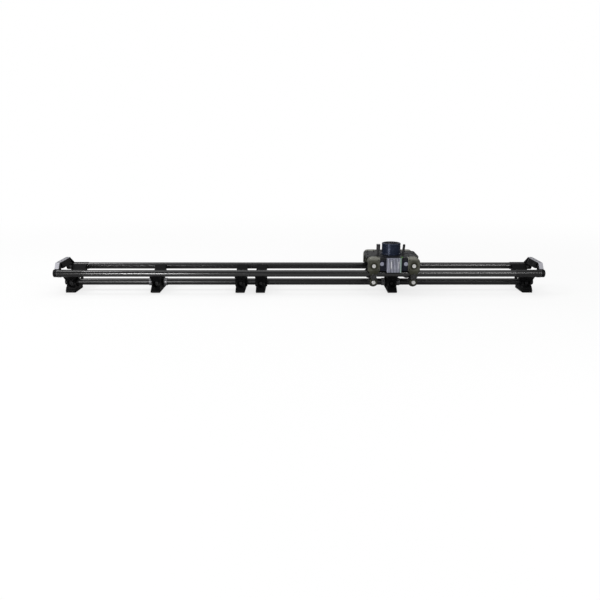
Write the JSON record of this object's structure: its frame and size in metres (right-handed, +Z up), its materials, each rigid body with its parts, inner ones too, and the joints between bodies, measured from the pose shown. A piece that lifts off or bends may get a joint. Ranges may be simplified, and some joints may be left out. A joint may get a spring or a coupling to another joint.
{
  "type": "camera slider",
  "caption": "Long camera slider: a wheeled carriage with a bowl mount rolls along twin tubular rails held by hourglass brackets over a lower tube, with carry handles at both ends.",
  "frame": {"origin": "centre of the footprint, on the underside of the two base plates", "axes": "+X along the rails towards the right-hand end, +Y from the working side to the far side, +Z up"},
  "size_m": [2.486, 0.284, 0.25],
  "materials": {
    "bearing_steel": "ground bearing steel",
    "brushed_light": "brushed, natural",
    "casting_black": "satin black enamel",
    "deck_black": "black anodised plate",
    "fastener": "bright socket screws",
    "felt_grey": "pressed felt",
    "grip_light": "bead-blasted, pale anodised",
    "handle_black": "moulded black with a soft sheen",
    "level_green": "tinted liquid under a clear dome",
    "plastic_dark": "fine moulded texture",
    "rail_anodised": "satin black anodised",
    "riser_blue": "dark blue-black anodised",
    "rubber_black": "matt",
    "screw_black": "blackened socket screws",
    "truck_grey": "grey anodised casting",
    "wheel_urethane": "hard urethane, satin"
  },
  "bodies": {
    "track": {"near_rail_left": "rail_anodised", "near_rail_right": "rail_anodised", "far_rail_left": "rail_anodised", "far_rail_right": "rail_anodised", "lower_tube_left": "rail_anodised", "lower_tube_right": "rail_anodised", "joint_spigots": "brushed_light", "lower_tube_caps": "plastic_dark", "left_end_casting": "casting_black", "right_end_casting": "casting_black", "left_base_plate": "casting_black", "right_base_plate": "casting_black", "left_handle_frame": "handle_black", "right_handle_frame": "handle_black", "left_handle_strap": "brushed_light", "right_handle_strap": "brushed_light", "rail_rings": "brushed_light", "mid_bracket_left": "casting_black", "mid_bracket_right": "casting_black", "joint_bracket_left": "casting_black", "joint_bracket_right": "casting_black", "bracket_pads": "rubber_black", "tube_collars": "brushed_light", "clamp_screws": "screw_black", "stop_bumpers": "rubber_black"},
    "carriage": {"carriage_deck": "deck_black", "truck_near_left": "truck_grey", "truck_near_right": "truck_grey", "truck_far_left": "truck_grey", "truck_far_right": "truck_grey", "side_beam_near": "deck_black", "side_beam_far": "deck_black", "push_grip": "grip_light", "bowl_riser": "riser_blue", "axle_bolts": "fastener", "wheel_bearings": "bearing_steel", "shaft_caps": "brushed_light", "bubble_level": "level_green"},
    "brake": {"brake_shaft": "fastener", "brake_lever": "plastic_dark"},
    "shoes": {"brake_shoes": "wheel_urethane"},
    "drag_screw": {"drag_knob": "plastic_dark"},
    "drag_press": {"drag_bar": "deck_black", "drag_felts": "felt_grey"},
    "wheel_upper_near_left": {"wheel_upper_near_left": "wheel_urethane"},
    "wheel_upper_near_right": {"wheel_upper_near_right": "wheel_urethane"},
    "wheel_upper_far_left": {"wheel_upper_far_left": "wheel_urethane"},
    "wheel_upper_far_right": {"wheel_upper_far_right": "wheel_urethane"},
    "wheel_lower_near_left": {"wheel_lower_near_left": "wheel_urethane"},
    "wheel_lower_near_right": {"wheel_lower_near_right": "wheel_urethane"},
    "wheel_lower_far_left": {"wheel_lower_far_left": "wheel_urethane"},
    "wheel_lower_far_right": {"wheel_lower_far_right": "wheel_urethane"},
    "star_knob_near_left": {"star_knob_near_left": "plastic_dark"},
    "star_knob_near_right": {"star_knob_near_right": "plastic_dark"},
    "star_knob_far_left": {"star_knob_far_left": "plastic_dark"},
    "star_knob_far_right": {"star_knob_far_right": "plastic_dark"}
  },
  "joints": [
    {"name": "carriage_slide", "type": "slide", "parent": "track", "child": "carriage", "axis": [1, 0, 0], "range_m": [-1.441, 0.489]},
    {"name": "spin_upper_near_left", "type": "hinge", "parent": "carriage", "child": "wheel_upper_near_left", "pos_m": [0.3755, -0.1, 0.1533], "axis": [0, 1, 0], "continuous": true},
    {"name": "spin_upper_near_right", "type": "hinge", "parent": "carriage", "child": "wheel_upper_near_right", "pos_m": [0.5765, -0.1, 0.1533], "axis": [0, 1, 0], "continuous": true},
    {"name": "spin_upper_far_left", "type": "hinge", "parent": "carriage", "child": "wheel_upper_far_left", "pos_m": [0.3755, 0.1, 0.1533], "axis": [0, 1, 0], "continuous": true},
    {"name": "spin_upper_far_right", "type": "hinge", "parent": "carriage", "child": "wheel_upper_far_right", "pos_m": [0.5765, 0.1, 0.1533], "axis": [0, 1, 0], "continuous": true},
    {"name": "spin_lower_near_left", "type": "hinge", "parent": "carriage", "child": "wheel_lower_near_left", "pos_m": [0.3755, -0.1, 0.0697], "axis": [0, 1, 0], "continuous": true},
    {"name": "spin_lower_near_right", "type": "hinge", "parent": "carriage", "child": "wheel_lower_near_right", "pos_m": [0.5765, -0.1, 0.0697], "axis": [0, 1, 0], "continuous": true},
    {"name": "spin_lower_far_left", "type": "hinge", "parent": "carriage", "child": "wheel_lower_far_left", "pos_m": [0.3755, 0.1, 0.0697], "axis": [0, 1, 0], "continuous": true},
    {"name": "spin_lower_far_right", "type": "hinge", "parent": "carriage", "child": "wheel_lower_far_right", "pos_m": [0.5765, 0.1, 0.0697], "axis": [0, 1, 0], "continuous": true},
    {"name": "brake_turn", "type": "hinge", "parent": "carriage", "child": "brake", "pos_m": [0.536, 0, 0.163], "axis": [0, 1, 0], "range_deg": [0, 50]},
    {"name": "shoe_press", "type": "slide", "parent": "carriage", "child": "shoes", "axis": [0, 0, -1], "range_m": [0, 0.00175]},
    {"name": "drag_press_slide", "type": "slide", "parent": "carriage", "child": "drag_press", "axis": [0, 0, -1], "range_m": [0, 0.0017]},
    {"name": "drag_turn", "type": "hinge", "parent": "drag_press", "child": "drag_screw", "pos_m": [0.41, 0, 0.2], "axis": [0, 0, -1], "range_deg": [0, 300]},
    {"name": "clamp_turn_near_left", "type": "hinge", "parent": "carriage", "child": "star_knob_near_left", "pos_m": [0.3755, -0.13, 0.0995], "axis": [0, 1, 0], "range_deg": [0, 270]},
    {"name": "clamp_turn_near_right", "type": "hinge", "parent": "carriage", "child": "star_knob_near_right", "pos_m": [0.5765, -0.13, 0.0995], "axis": [0, 1, 0], "range_deg": [0, 270]},
    {"name": "clamp_turn_far_left", "type": "hinge", "parent": "carriage", "child": "star_knob_far_left", "pos_m": [0.3755, 0.13, 0.0995], "axis": [0, 1, 0], "range_deg": [0, 270]},
    {"name": "clamp_turn_far_right", "type": "hinge", "parent": "carriage", "child": "star_knob_far_right", "pos_m": [0.5765, 0.13, 0.0995], "axis": [0, 1, 0], "range_deg": [0, 270]}
  ],
  "couplings": [
    {"joint": "spin_upper_near_left", "follows": "carriage_slide", "rad_per_m": 38.462},
    {"joint": "spin_upper_near_right", "follows": "carriage_slide", "rad_per_m": 38.462},
    {"joint": "spin_upper_far_left", "follows": "carriage_slide", "rad_per_m": 38.462},
    {"joint": "spin_upper_far_right", "follows": "carriage_slide", "rad_per_m": 38.462},
    {"joint": "spin_lower_near_left", "follows": "carriage_slide", "rad_per_m": -43.478},
    {"joint": "spin_lower_near_right", "follows": "carriage_slide", "rad_per_m": -43.478},
    {"joint": "spin_lower_far_left", "follows": "carriage_slide", "rad_per_m": -43.478},
    {"joint": "spin_lower_far_right", "follows": "carriage_slide", "rad_per_m": -43.478},
    {"joint": "shoe_press", "follows": "brake_turn", "m_per_rad": 0.002},
    {"joint": "drag_turn", "follows": "drag_press_slide", "rad_per_m": 3080}
  ]
}
